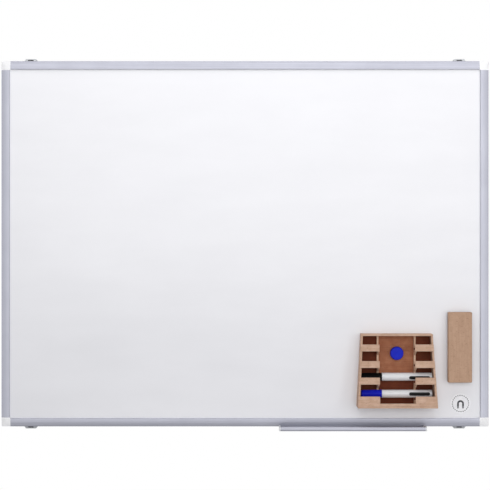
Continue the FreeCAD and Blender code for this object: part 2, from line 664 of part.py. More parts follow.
def rack():
    """All boards of the organiser by name, in its own place."""
    inner = (RACK_BOARD, RACK_HEIGHT - RACK_BOARD)
    outside = rack_form(0, 0)
    behind_front = rack_form(0, RACK_BOARD)
    front_layer = outside.cut(behind_front)
    walls = rack_part(behind_front.cut(rack_form(RACK_BOARD, RACK_BOARD)), z_span=inner).Solids
    left_wall, right_wall = sorted(walls, key=lambda wall: wall.CenterOfMass.x)
    notch = block((-RACK_NOTCH_WIDTH / 2, RACK_NOTCH_WIDTH / 2), (0, RACK_BOTTOM_DEPTH + OVERRUN),
                  (RACK_BOARD + RACK_NOTCH_LIP, RACK_HEIGHT))
    front = rack_part(front_layer, z_span=(RACK_BOARD, rack_rim(RACK_TIERS)))
    pieces = {
        "organiser_back": rack_back(),
        "organiser_side_left": eased(left_wall),
        "organiser_side_right": eased(right_wall),
        "organiser_top": eased(rack_part(outside, z_span=(inner[1], RACK_HEIGHT))),
        "organiser_bottom": eased(rack_part(outside, z_span=(0, inner[0]))),
        "organiser_front": eased(front.cut(notch)),
        "organiser_magnets": rack_magnets(),
        "organiser_divider_left": mirrored_x(rack_divider()),
        "organiser_divider_right": rack_divider(),
    }
    spines = [rack_spine(), mirrored_x(rack_spine())]
    sides = {
        "left": (-RACK_BOTTOM_WIDTH / 2, -RACK_NOTCH_WIDTH / 2),
        "right": (RACK_NOTCH_WIDTH / 2, RACK_BOTTOM_WIDTH / 2),
    }
    for tier in range(1, RACK_TIERS + 1):
        ledge = rack_ledge(tier).cut(spines)
        rim = rack_rim(tier)
        slat = rack_part(front_layer, z_span=(rim - SLAT_HEIGHT, rim))
        pieces[f"organiser_ledges_{tier}"] = Part.makeCompound(
            [eased(rack_part(ledge, x_span=x_span)) for x_span in sides.values()])
        if tier < RACK_TIERS:
            for side, x_span in sides.items():
                pieces[f"organiser_slat_{tier}_{side}"] = eased(rack_part(slat, x_span=x_span))
    return {name: moved(shape, RACK_X, -SEAT, RACK_Z) for name, shape in pieces.items()}


# Markers, drawn along X about the middle of their length, with the cap on the left


def marker_parts():
    """Barrel, cap, nib, ink core and end plug of one marker by name."""
    cap_end = -MARKER_LENGTH / 2
    cap_mouth = cap_end + MARKER_CAP_LENGTH
    shoulder = cap_mouth + MARKER_CAP_GAP
    seat_front = shoulder - MARKER_SEAT_LENGTH
    nose_front = seat_front - MARKER_NOSE_LENGTH
    nib_tip = nose_front - MARKER_NIB_LENGTH
    ink_front = shoulder + MARKER_FRONT_WALL
    tail_end = MARKER_LENGTH / 2
    tail = tail_end - MARKER_PLUG_HEAD
    spigot_end = tail - MARKER_PLUG_SPIGOT
    nib_bore = MARKER_NIB_RADIUS + MARKER_NIB_PLAY
    cap_bore = MARKER_SEAT_RADIUS + MARKER_CAP_PLAY
    barrel = spun_about_x([
        (nose_front, nib_bore), (nose_front, MARKER_NOSE_RADIUS), (seat_front, MARKER_SEAT_RADIUS),
        (shoulder, MARKER_SEAT_RADIUS), (shoulder, MARKER_RADIUS), (tail, MARKER_RADIUS),
        (tail, MARKER_BORE_RADIUS), (ink_front, MARKER_BORE_RADIUS), (ink_front, nib_bore)])
    ring_start = cap_mouth - MARKER_RING_INSET
    ring_end = ring_start + MARKER_RING_WIDTH
    ring_floor = MARKER_RADIUS - MARKER_RING_DEPTH
    cap = spun_about_x([
        (cap_end, 0), (cap_end, MARKER_CAP_END_RADIUS), (ring_start, MARKER_RADIUS), (ring_start, ring_floor),
        (ring_end, ring_floor), (ring_end, MARKER_RADIUS), (cap_mouth, MARKER_RADIUS), (cap_mouth, cap_bore),
        (cap_end + MARKER_CAP_WALL, cap_bore), (cap_end + MARKER_CAP_WALL, 0)])
    nib = spun_about_x([(nib_tip, 0), (nib_tip, MARKER_NIB_RADIUS), (ink_front, MARKER_NIB_RADIUS),
                        (ink_front, 0)])
    ink_radius = MARKER_BORE_RADIUS - MARKER_INK_PLAY
    ink = spun_about_x([(ink_front, 0), (ink_front, ink_radius), (spigot_end, ink_radius), (spigot_end, 0)])
    spigot_radius = MARKER_BORE_RADIUS - MARKER_PLUG_PLAY
    plug = spun_about_x([(spigot_end, 0), (spigot_end, spigot_radius), (tail, spigot_radius),
                         (tail, MARKER_RADIUS), (tail_end, MARKER_RADIUS), (tail_end, 0)])

    def ends_at(along):
        return lambda edge: abs(edge.CenterOfMass.x - along) < SAME_PLACE

    return {
        "barrel": barrel,
        "cap": rounded(cap, MARKER_CAP_END_ROUND, ends_at(cap_end)),
        "nib": rounded(nib, MARKER_NIB_ROUND, ends_at(nib_tip)),
        "ink_core": ink,
        "end_plug": rounded(plug, MARKER_PLUG_ROUND, ends_at(tail_end)),
    }


def marker_rest(tier):
    """Depth and height of a marker's axis where it rests on a ledge, against the dividers' spines."""
    depth = RACK_BOARD + DIVIDER_SPINE_DEPTH + MARKER_REST_GAP + MARKER_RADIUS
    return depth, ledge_top(tier, depth) + (MARKER_RADIUS + MARKER_REST_GAP) / math.cos(LEDGE_TILT)


def markers():
    """Both markers on the two lowest ledges."""
    pieces = {}
    for name, tier in (("black", RACK_TIERS - 1), ("blue", RACK_TIERS)):
        depth, height = marker_rest(tier)
        for part, shape in marker_parts().items():
            pieces[f"marker_{name}_{part}"] = moved(shape, RACK_X, -(SEAT + depth), RACK_Z + height)
    return pieces


# Round magnet, drawn with its back at Y zero


def button_magnet():
    """Shell and ferrite disc of the round magnet by name."""
    forwards = V(0, -1, 0)
    shell = Part.makeCone(BUTTON_RADIUS, BUTTON_TOP_RADIUS, BUTTON_HEIGHT, V(0, 0, 0), forwards)
    shell = rounded(shell, BUTTON_ROUND, lambda edge: passes(edge, -BUTTON_HEIGHT))
    room = Part.makeCylinder(DISC_RADIUS + DISC_PLAY, DISC_THICK + DISC_PLAY, V(0, 0, 0), forwards)
    disc = Part.makeCylinder(DISC_RADIUS, DISC_THICK, V(0, 0, 0), forwards)
    height = RACK_Z + RACK_HEIGHT - BUTTON_FROM_RACK_TOP
    place = (RACK_X + BUTTON_ASIDE, -(SEAT + RACK_BOARD + SEAT_GAP), height)
    return {
        "magnet_shell": moved(shell.cut(room), *place),
        "magnet_disc": moved(disc, *place),
    }


# Eraser, drawn with its felt face at Y zero and its middle at X and Z zero


def slab(width, height, near, thick):
    """Upright slab about the middle, between two distances forwards."""
    return block((-width / 2, width / 2), (near, near + thick), (-height / 2, height / 2))


def eraser():
    """Block, felt pad and magnets of the eraser by name."""
    block_front = ERASER_FELT_THICK + ERASER_BLOCK_THICK
    forwards = V(0, -1, 0)
    body = slab(ERASER_WIDTH, ERASER_HEIGHT, ERASER_FELT_THICK, ERASER_BLOCK_THICK)
    body = rounded(body, ERASER_CORNER_ROUND, lambda edge: runs_along(edge, forwards))
    body = rounded(body, ERASER_EDGE_ROUND, lambda edge: passes(edge, -block_front))
    felt = slab(ERASER_WIDTH - 2 * ERASER_FELT_INSET, ERASER_HEIGHT - 2 * ERASER_FELT_INSET, 0,
                ERASER_FELT_THICK)
    felt = rounded(felt, ERASER_CORNER_ROUND - ERASER_FELT_INSET, lambda edge: runs_along(edge, forwards))
    places = [V(0, -ERASER_FELT_THICK, offset) for offset in
              (-ERASER_MAGNET_SPACING / 2, ERASER_MAGNET_SPACING / 2)]
    pockets = [Part.makeCylinder(ERASER_MAGNET_RADIUS + ERASER_MAGNET_PLAY,
                                 ERASER_MAGNET_THICK + ERASER_MAGNET_PLAY, place, forwards)
               for place in places]
    discs = [Part.makeCylinder(ERASER_MAGNET_RADIUS, ERASER_MAGNET_THICK, place, forwards)
             for place in places]
    pieces = {
        "eraser_block": body.cut(pockets),
        "eraser_felt": felt,
        "eraser_magnets": Part.makeCompound(discs),
    }
    x = BOARD_RIGHT - ERASER_FROM_RIGHT
    z = -BOARD_TOP + ERASER_FROM_BOTTOM
    return {name: moved(shape, x, -SEAT, z) for name, shape in pieces.items()}


def main():
    """Build every piece and write one STEP file for each node."""
    os.makedirs("parts", exist_ok=True)
    for group in (panel, rails, corners, clips, pen_tray, rack, markers, button_magnet, eraser):
        for name, shape in group().items():
            if not shape.isValid():
                raise ValueError(f"{name} is not a valid solid")
            shape.exportStep(f"parts/{name}.step")


main()
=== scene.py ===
"""Looks of a framed magnetic whiteboard with its tray, wall clips, marker rack, magnet and eraser.

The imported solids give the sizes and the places, in metres: X runs right along the board, Y into the
wall and Z up. The classes below dress those solids, swap a few for finer meshes and set up the studio.
"""
import logging
import math
from dataclasses import dataclass
from enum import Enum
from typing import Any

import bmesh
import bpy
from bmesh.types import BMesh
from bpy.types import Material, Mesh, Node, NodeSocket, NodeTree, Object, World
from mathutils import Matrix, Vector, noise


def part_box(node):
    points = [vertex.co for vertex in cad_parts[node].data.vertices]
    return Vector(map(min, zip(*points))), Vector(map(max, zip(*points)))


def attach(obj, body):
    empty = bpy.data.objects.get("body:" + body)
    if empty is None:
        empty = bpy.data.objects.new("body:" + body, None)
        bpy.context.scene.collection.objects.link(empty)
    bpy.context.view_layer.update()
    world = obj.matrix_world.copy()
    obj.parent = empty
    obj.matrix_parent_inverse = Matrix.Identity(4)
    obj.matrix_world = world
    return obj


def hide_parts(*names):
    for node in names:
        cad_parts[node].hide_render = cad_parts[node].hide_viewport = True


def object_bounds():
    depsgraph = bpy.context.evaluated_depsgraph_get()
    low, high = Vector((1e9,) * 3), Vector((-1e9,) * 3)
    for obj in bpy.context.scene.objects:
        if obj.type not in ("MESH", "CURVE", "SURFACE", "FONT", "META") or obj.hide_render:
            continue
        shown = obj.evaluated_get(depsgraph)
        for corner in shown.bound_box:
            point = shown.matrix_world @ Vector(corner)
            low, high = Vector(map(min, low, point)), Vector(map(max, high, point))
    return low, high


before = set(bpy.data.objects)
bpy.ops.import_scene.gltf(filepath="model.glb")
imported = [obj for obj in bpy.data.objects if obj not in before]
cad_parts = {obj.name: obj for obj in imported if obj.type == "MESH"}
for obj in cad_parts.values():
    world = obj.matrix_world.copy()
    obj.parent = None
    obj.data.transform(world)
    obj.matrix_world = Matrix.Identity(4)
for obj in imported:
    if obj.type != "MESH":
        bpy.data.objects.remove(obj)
CAD_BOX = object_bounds()

LOG = logging.getLogger("whiteboard")
WHITE = "#FFFFFF"

# A link starts at a socket, or at the first output of a node.
Source = Node | NodeSocket
# Sockets of the Mix node when it mixes colours, which share their names with its other sockets.
MIX_SHARE, MIX_FROM, MIX_TO, MIX_COLOUR = 0, 6, 7, 2
# Most of a noise pattern lies between these values.
NOISE_LOW, NOISE_HIGH = 0.3, 0.7
# Edges of new meshes that bend more than this stay sharp, and points nearer than this become one.
SHARP_ANGLE = math.radians(35.0)
MERGE_DISTANCE = 0.5e-6
# Steps in a quarter turn of a rounded corner.
CORNER_STEPS = 5


class Corner(Enum):
    """Corner of the board, as the nodes name it."""

    TOP_LEFT = "top_left"
    TOP_RIGHT = "top_right"
    BOTTOM_LEFT = "bottom_left"
    BOTTOM_RIGHT = "bottom_right"


class Input(Enum):
    """Kind of a named input of a node recipe."""

    NUMBER = "NodeSocketFloat"
    COUNT = "NodeSocketInt"
    SOURCE = "NodeSocketObject"


def mm(length: float) -> float:
    """Millimetres as metres."""
    return length / 1000.0


def linear(code: str) -> tuple[float, ...]:
    """Turn an sRGB colour into Blender's linear one.

    Args:
        code: Hex colour with a leading hash.

    Returns:
        Linear red, green and blue, and full alpha.
    """
    # The numbers below are those of the sRGB curve.
    shares = [int(code[at:at + 2], 16) / 255.0 for at in (1, 3, 5)]
    return (*(s / 12.92 if s <= 0.04045 else ((s + 0.055) / 1.055) ** 2.4 for s in shares), 1.0)


def add_node(
    tree: NodeTree, kind: str, inputs: dict[str | int, Any] | None = None, **settings: Any,
) -> Node:
    """Add a node with its settings, values and links.

    Args:
        tree: Shader or geometry tree that gets the node.
        kind: Blender's name of the node type.
        inputs: By socket name or number, a value, a source to link from, or a list of sources.
        settings: Properties of the node.

    Returns:
        The new node.
    """
    node = tree.nodes.new(kind)
    for name, value in settings.items():
        setattr(node, name, value)
    for key, value in (inputs or {}).items():
        sources = value if isinstance(value, list) else [value]
        if isinstance(sources[0], Source):
            for source in sources:
                tree.links.new(source.outputs[0] if isinstance(source, Node) else source, node.inputs[key])
        else:
            node.inputs[key].default_value = value
    return node


def cleared(owner: Material | World) -> NodeTree:
    """Start the node tree of a material or a world anew.

    Args:
        owner: Material or world.

    Returns:
        Its empty tree.
    """
    owner.use_nodes = True
    owner.node_tree.nodes.clear()
    return owner.node_tree


def put(name: str, data: Any) -> Object:
    """Add an object to the scene.

    Args:
        name: Name of the object.
        data: Its mesh, lamp or camera.

    Returns:
        The new object.
    """
    item = bpy.data.objects.new(name, data)
    bpy.context.scene.collection.objects.link(item)
    return item


@dataclass(frozen=True)
class Pattern:
    """Soft noise whose spots have a real size along X, Y and Z, in millimetres."""

    cell_mm: tuple[float, ...]
    detail: float = 2.0

    def spots(self, tree: NodeTree) -> Source:
        """Draw the pattern.

        Args:
            tree: Tree of the material.

        Returns:
            Source of the pattern.
        """
        where = add_node(tree, "ShaderNodeTexCoord").outputs["Object"]
        counted = add_node(tree, "ShaderNodeMapping", {
            "Vector": where, "Scale": tuple(1.0 / mm(size) for size in self.cell_mm)})
        return add_node(tree, "ShaderNodeTexNoise", {"Vector": counted, "Scale": 1.0, "Detail": self.detail})

    def spread(self, tree: NodeTree, low: float, high: float) -> Source:
        """Draw the pattern with its middle stretched over a range.

        Args:
            tree: Tree of the material.
            low: Value where the pattern is weak.
            high: Value where the pattern is strong.

        Returns:
            Source of values from low to high.
        """
        return add_node(tree, "ShaderNodeMapRange", {
            "Value": self.spots(tree), "From Min": NOISE_LOW, "From Max": NOISE_HIGH,
            "To Min": low, "To Max": high})


class Along(Enum):
    """Die lines of a bar, by the direction in which it was drawn."""

    # Real die lines lie about 0.2 mm apart; drawn coarser, so that they show.
    X = Pattern((340.0, 1.1, 1.1), 3.0)
    Z = Pattern((1.1, 1.1, 340.0), 3.0)


@dataclass(frozen=True)
class Finish:
    """A real surface in procedural nodes: a colour with tinted spots, a gloss and a fine relief."""

    name: str
    colour: str
    roughness: float
    tint_colour: str = WHITE
    tint: Pattern = Pattern((16.0,) * 3, 3.0)
    tint_share: float = 1.0
    # The real grain of a mould is near 0.1 mm; drawn coarser, so that it shows.
    gloss: Pattern = Pattern((0.8,) * 3)
    gloss_step: float = 0.0
    relief: Pattern = gloss
    relief_mm: float = 0.012
    relief_strength: float = 1.0
    specular: float = 0.5
    ior: float = 1.5
    metallic: float = 0.0
    sheen: float = 0.0

    def material(self) -> Material:
        """Make the finish a Blender material, on its first use.

        Returns:
            The material.
        """
        ready = bpy.data.materials.get(self.name)
        if ready is None:
            ready = bpy.data.materials.new(self.name)
            tree = cleared(ready)
            shader = add_node(tree, "ShaderNodeBsdfPrincipled", self.sockets(tree))
            add_node(tree, "ShaderNodeOutputMaterial", {"Surface": shader})
        return ready

    def sockets(self, tree: NodeTree) -> dict[str, Any]:
        """Draw the patterns of the finish.

        Args:
            tree: Tree of the material.

        Returns:
            Values and links for the sockets of the shader.
        """
        bump = add_node(tree, "ShaderNodeBump", {
            "Strength": self.relief_strength, "Distance": mm(self.relief_mm),
            "Height": self.relief.spots(tree)})
        rough: Any = self.roughness
        if self.gloss_step:
            rough = self.gloss.spread(tree, self.roughness, self.roughness + self.gloss_step)
        return {
            "Base Color": self.painted(tree, self.layers(tree)), "Metallic": self.metallic,
            "Roughness": rough, "IOR": self.ior, "Specular IOR Level": self.specular,
            "Sheen Weight": self.sheen, "Normal": bump}

    def painted(self, tree: NodeTree, layers: list[tuple[Source, str]]) -> Source:
        """Lay other colours over the main one.

        Args:
            tree: Tree of the material.
            layers: Shares of the other colours, with those colours.

        Returns:
            Source of the surface's colour.
        """
        colour: Any = linear(self.colour)
        for share, code in layers:
            mix = add_node(tree, "ShaderNodeMix", {
                MIX_SHARE: share, MIX_FROM: colour, MIX_TO: linear(code)}, data_type="RGBA")
            colour = mix.outputs[MIX_COLOUR]
        return colour

    def layers(self, tree: NodeTree) -> list[tuple[Source, str]]:
        """Shares of the colours that lie over the main one, with those colours."""
        return [(self.tint.spread(tree, 0.0, self.tint_share), self.tint_colour)]


@dataclass(frozen=True)
class Enamel(Finish):
    """Vitreous enamel fired on sheet steel: glassy white, dull ghosts of wiped ink and a faint ripple."""

    tint_colour: str = "#E8E8EC"
    tint: Pattern = Pattern((190.0, 190.0, 60.0), 3.0)
    tint_share: float = 0.55
    gloss: Pattern = Pattern((120.0, 120.0, 14.0), 3.0)
    gloss_step: float = 0.09
    relief: Pattern = Pattern((6.0,) * 3)
    relief_mm: float = 0.004
    ior: float = 1.52


@dataclass(frozen=True)
class DrawnAluminium(Finish):
    """Extruded and anodised aluminium: pale satin metal, faint die lines along the bar, a cloudy etch."""

    tint_colour: str = "#B0B1BB"
    gloss: Pattern = Pattern((45.0,) * 3)
    gloss_step: float = 0.05
    metallic: float = 1.0


@dataclass(frozen=True)
class GrainedSolid(Finish):
    """Moulded or sintered body: even colour, soft flow clouds and the fine grain of its tool."""

    gloss_step: float = 0.08
    ior: float = 1.49


@dataclass(frozen=True)
class ZincPlate(Finish):
    """Zinc plated on pressed steel: cool bright metal with a cloudy tint and rolling scratches."""

    tint_colour: str = "#B2B4B6"
    tint: Pattern = Pattern((9.0,) * 3, 4.0)
    # Real rolling scratches are near 0.05 mm wide; drawn coarser, so that they show.
    gloss: Pattern = Pattern((14.0, 0.7, 0.7), 3.0)
    gloss_step: float = 0.14
    relief: Pattern = gloss
    relief_mm: float = 0.008
    metallic: float = 1.0


@dataclass(frozen=True)
class SpangledZinc(Finish):
    """Hot-dip zinc on sheet steel: dull grey metal broken into flat crystals of many tones."""

    tint_colour: str = "#C3C7CB"
    gloss_step: float = 0.2
    metallic: float = 1.0
    crystal_mm: float = 13.0
    frost: Pattern = Pattern((1.6,) * 3, 3.0)
    frost_least: float = 0.6

    def sockets(self, tree: NodeTree) -> dict[str, Any]:
        """Draw one tone and gloss for each crystal, with frosting inside it.

        Args:
            tree: Tree of the material.

        Returns:
            Values and links for the sockets of the shader.
        """
        where = add_node(tree, "ShaderNodeTexCoord").outputs["Object"]
        cells = add_node(tree, "ShaderNodeTexVoronoi", {"Vector": where, "Scale": 1.0 / mm(self.crystal_mm)})
        tone = add_node(tree, "ShaderNodeSeparateColor", {"Color": cells.outputs["Color"]})
        share = add_node(tree, "ShaderNodeMath", {
            0: tone, 1: self.frost.spread(tree, self.frost_least, 1.0)}, operation="MULTIPLY")
        gloss = add_node(tree, "ShaderNodeMapRange", {
            "Value": tone.outputs[1], "To Min": self.roughness, "To Max": self.roughness + self.gloss_step})
        colour = self.painted(tree, [(share, self.tint_colour)])
        return {"Base Color": colour, "Metallic": self.metallic, "Roughness": gloss}


@dataclass(frozen=True)
class Fibreboard(Finish):
    """Medium-density fibreboard: matt brown, pressed streaks, dark specks, rubbed edges, a fuzzy skin."""

    tint_colour: str = "#D6B6A1"
    tint: Pattern = Pattern((12.0,) * 3, 5.0)
    relief: Pattern = Pattern((0.9,) * 3, 3.0)
    relief_mm: float = 0.05
    relief_strength: float = 0.6
    specular: float = 0.3
    streak_colour: str = "#B08C74"
    streaks: Pattern = Pattern((46.0, 46.0, 2.4), 3.0)
    streak_share: float = 0.5
    speck_colour: str = "#7C5540"
    # Real fibre specks are near 0.5 mm; drawn coarser, so that they show.
    specks: Pattern = Pattern((3.4, 3.4, 1.5), 1.0)
    speck_range: tuple[float, float] = (0.63, 0.74)
    speck_share: float = 0.4
    edge_colour: str = "#8F6A52"
    edge_mm: float = 0.8
    edge_range: tuple[float, float] = (0.99, 0.75)
    edge_share: float = 0.55
    edge_samples: int = 4

    def layers(self, tree: NodeTree) -> list[tuple[Source, str]]:
        """Mottle, streaks, specks and darker arrises.

        Args:
            tree: Tree of the material.

        Returns:
            Shares of the colours that lie over the main one, with those colours.
        """
        bent = add_node(tree, "ShaderNodeBevel", {"Radius": mm(self.edge_mm)}, samples=self.edge_samples)
        flat = add_node(tree, "ShaderNodeNewGeometry")
        even = add_node(tree, "ShaderNodeVectorMath", {
            0: bent, 1: flat.outputs["Normal"]}, operation="DOT_PRODUCT")
        layers = super().layers(tree)
        layers.append((self.streaks.spread(tree, 0.0, self.streak_share), self.streak_colour))
        for value, (start, end), share, colour in (
            (self.specks.spots(tree), self.speck_range, self.speck_share, self.speck_colour),
            (even.outputs["Value"], self.edge_range, self.edge_share, self.edge_colour),
        ):
            cut = add_node(tree, "ShaderNodeMapRange", {
                "Value": value, "From Min": start, "From Max": end, "To Max": share})
            layers.append((cut, colour))
        return layers


@dataclass(frozen=True)
class PressedFelt(Finish):
    """Needled wool felt: matted fibres that catch a soft pale edge of light."""

    tint_colour: str = "#6A6B70"
    # Real fibres are near 0.03 mm thick; drawn coarser, so that they show.
    tint: Pattern = Pattern((2.6, 0.7, 0.9), 4.0)
    relief: Pattern = Pattern((1.2,) * 3, 4.0)
    relief_mm: float = 0.25
    specular: float = 0.2
    sheen: float = 0.35


class NodeRecipe:
    """Geometry Nodes tree with named inputs, baked to a plain mesh."""

    def __init__(self, name: str) -> None:
        """Start an empty tree.

        Args:
            name: Name of the tree.
        """
        self.tree = bpy.data.node_groups.new(name, "GeometryNodeTree")
        self.tree.interface.new_socket("Geometry", in_out="OUTPUT", socket_type="NodeSocketGeometry")
        self.entry = add_node(self.tree, "NodeGroupInput")
        self.values: dict[str, Any] = {}

    def value(self, label: str, kind: Input, value: Any) -> NodeSocket:
        """Add a named input and keep the value that the modifier gives it.

        Args:
            label: Name of the input.
            kind: What the input takes.
            value: A number, or the object that the input reads.

        Returns:
            Socket that carries the value into the tree.
        """
        item = self.tree.interface.new_socket(label, in_out="INPUT", socket_type=kind.value)
        self.values[item.identifier] = value
        return self.entry.outputs[label]

    def shape(self, label: str, mesh: Mesh) -> NodeSocket:
        """Add a named input that reads a mesh.

        Args:
            label: Name of the input.
            mesh: Mesh that the tree uses.

        Returns:
            Socket with the mesh as geometry.
        """
        read = add_node(self.tree, "GeometryNodeObjectInfo", {
            "Object": self.value(label, Input.SOURCE, put(label, mesh))})
        return read.outputs["Geometry"]

    def planted(self, points: Source, shape: Source, **turns: Source) -> Source:
        """Set a shape on every point.

        Args:
            points: Source of the points.
            shape: Source of the shape.
            turns: By axis, the turn of the shape at each point.

        Returns:
            Source of all the shapes.
        """
        euler = add_node(self.tree, "ShaderNodeCombineXYZ", turns)
        facing = add_node(self.tree, "FunctionNodeEulerToRotation", {0: euler})
        return add_node(self.tree, "GeometryNodeInstanceOnPoints", {
            "Points": points, "Instance": shape, "Rotation": facing})

    def bake(self, geometry: Source, finish: Finish) -> Mesh:
        """End the tree, run it once and keep its result.

        Args:
            geometry: Source of everything that the tree made.
            finish: Finish of the result.

        Returns:
            Plain mesh without instances, shaded smooth between its sharp edges.
        """
        whole = add_node(self.tree, "GeometryNodeRealizeInstances", {"Geometry": geometry})
        dressed = add_node(self.tree, "GeometryNodeSetMaterial", {
            "Geometry": whole, "Material": finish.material()})
        add_node(self.tree, "NodeGroupOutput", {"Geometry": dressed})
        carrier = put(self.tree.name, bpy.data.meshes.new(self.tree.name))
        modifier = carrier.modifiers.new(self.tree.name, "NODES")
        modifier.node_group = self.tree
        for identifier, value in self.values.items():
            modifier[identifier] = value
        depsgraph = bpy.context.evaluated_depsgraph_get()
        mesh = bpy.data.meshes.new_from_object(carrier.evaluated_get(depsgraph), depsgraph=depsgraph)
        carrier.modifiers.remove(modifier)
        sources = [value for value in self.values.values() if isinstance(value, Object)]
        for spent in (carrier, *sources):
            bpy.data.objects.remove(spent)
        soften(mesh)
        return mesh


def finished(shell: BMesh, name: str, finish: Finish | None = None) -> Mesh:
    """Close a mesh under work: merge doubles, turn its faces outwards and mark its sharp edges.

    Args:
        shell: Mesh under work, which is freed.
        name: Name of the new mesh.
        finish: Finish of the mesh, where it gets just one.

    Returns:
        The finished mesh.
    """
    bmesh.ops.remove_doubles(shell, verts=shell.verts, dist=MERGE_DISTANCE)
    bmesh.ops.recalc_face_normals(shell, faces=shell.faces)
    mesh = bpy.data.meshes.new(name)
    shell.to_mesh(mesh)
    shell.free()
    soften(mesh)
    if finish is not None:
        mesh.materials.append(finish.material())
    return mesh


def soften(mesh: Mesh) -> None:
    """Shade a mesh smooth between its sharp edges."""
    mesh.shade_smooth()
    mesh.set_sharp_from_angle(angle=SHARP_ANGLE)


def lofted(name: str, *bodies: list[list[Vector]], finish: Finish | None = None) -> Mesh:
    """Skin closed rows of points into closed bodies.

    Args:
        name: Name of the new mesh.
        bodies: Rows of equally many points; the first and the last row of a body get a face each.
        finish: Finish of the mesh, where it gets just one.

    Returns:
        Mesh of all the bodies.
    """
    shell = bmesh.new()
    for rows in bodies:
        loops = [[shell.verts.new(point) for point in row] for row in rows]
        for near, far in zip(loops, loops[1:]):
            for at in range(len(near)):
                shell.faces.new((near[at - 1], near[at], far[at], far[at - 1]))
        shell.faces.new(loops[0])
        shell.faces.new(loops[-1])
    return finished(shell, name, finish)


def rounded_outline(half: Vector, rounding: float) -> list[Vector]:
    """Outline of a rectangle with round corners, about the origin.

    Args:
        half: Half of its two sides.
        rounding: Radius of its corners.

    Returns:
        Points of the outline, in order.
    """
    points = []
    for quarter, signs in enumerate(((1, 1), (-1, 1), (-1, -1), (1, -1))):
        centre = (half - Vector((rounding, rounding))) * Vector(signs)
        for step in range(CORNER_STEPS + 1):
            turn = math.pi / 2 * (quarter + step / CORNER_STEPS)
            points.append(centre + rounding * Vector((math.cos(turn), math.sin(turn))))
    return points


def turned(name: str, profile: list[tuple[float, float]], steps: int) -> Mesh:
    """Turn a profile about the X axis, as on a lathe.

    Args:
        name: Name of the new mesh.
        profile: Places along X and radii, in metres, from one pole to the other.
        steps: Faces round the axis.

    Returns:
        The closed mesh.
    """
    turns = [math.tau * step / steps for step in range(steps)]
    return lofted(name, [
        [Vector((along, radius * math.cos(turn), radius * math.sin(turn))) for turn in turns]
        for along, radius in profile])


def dress(finish: Finish, *nodes: str) -> None:
    """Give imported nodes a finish.

    Args:
        finish: Finish for every slot of the nodes.
        nodes: Names of the nodes.
    """
    for node in nodes:
        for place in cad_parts[node].material_slots:
            place.material = finish.material()
        LOG.info("%s dressed in %s", node, finish.name)


def add_piece(name: str, mesh: Mesh, body: str, replaced: tuple[str, ...] = ()) -> Object:
    """Add a finished mesh to the object.

    Args:
        name: Name of the piece.
        mesh: Mesh in its place, with its materials.
        body: Body that the piece moves with.
        replaced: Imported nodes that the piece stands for.

    Returns:
        The new piece.
    """
    piece = put(name, mesh)
    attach(piece, body)
    if replaced:
        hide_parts(*replaced)
    LOG.info("%s built with %d faces, rides on %s", name, len(mesh.polygons), body)
    return piece


# Finishes that several sub-assemblies share.
# The upright rails get a slightly lighter colour than the rails across: painted light, for the brighter
# light they show.
RAIL_ACROSS, RAIL_UPRIGHT = (
    DrawnAluminium(f"anodised_aluminium_along_{along.name.lower()}", colour, 0.58,
                   tint=along.value, relief=along.value)
    for along, colour in ((Along.X, "#A2A3AD"), (Along.Z, "#A8A9B3")))
ZINC_PLATED_STEEL = ZincPlate("zinc_plated_pressed_steel", "#C4C6CA", 0.46)
FERRITE = GrainedSolid("sintered_ferrite", "#2B2A2B", 0.62, "#353333", relief_mm=0.03)
INK_FIBRE = PressedFelt("bonded_ink_fibre", "#232327", 0.85, "#3A3A42")
WHITE_POLYPROPYLENE = GrainedSolid(
    "glossy_white_polypropylene", "#DDDDE0", 0.24, "#E3E3E5", relief_mm=0.004)
BLACK_POLYPROPYLENE = GrainedSolid(
    "glossy_black_polypropylene", "#050405", 0.32, "#090809", relief_mm=0.004, specular=0.05)
BLUE_POLYPROPYLENE = GrainedSolid(
    "glossy_blue_polypropylene", "#121DBA", 0.28, "#1723C4", relief_mm=0.004, specular=0.1)


@dataclass
class Panel:
    """Writing panel: an enamelled steel face on a pressed core, with a zinc sheet behind."""

    face: Finish = Enamel("fired_white_enamel", "#EEEEF2", 0.16)
    core: Finish = Fibreboard("pressed_core_board", "#A98F78", 0.9, "#B69C85")
    back: Finish = SpangledZinc("spangled_zinc_sheet", "#9DA1A6", 0.34)

    def build(self) -> None:
        """Dress the three layers."""
        dress(self.face, "writing_sheet")
        dress(self.core, "core_panel")
        dress(self.back, "backing_sheet")


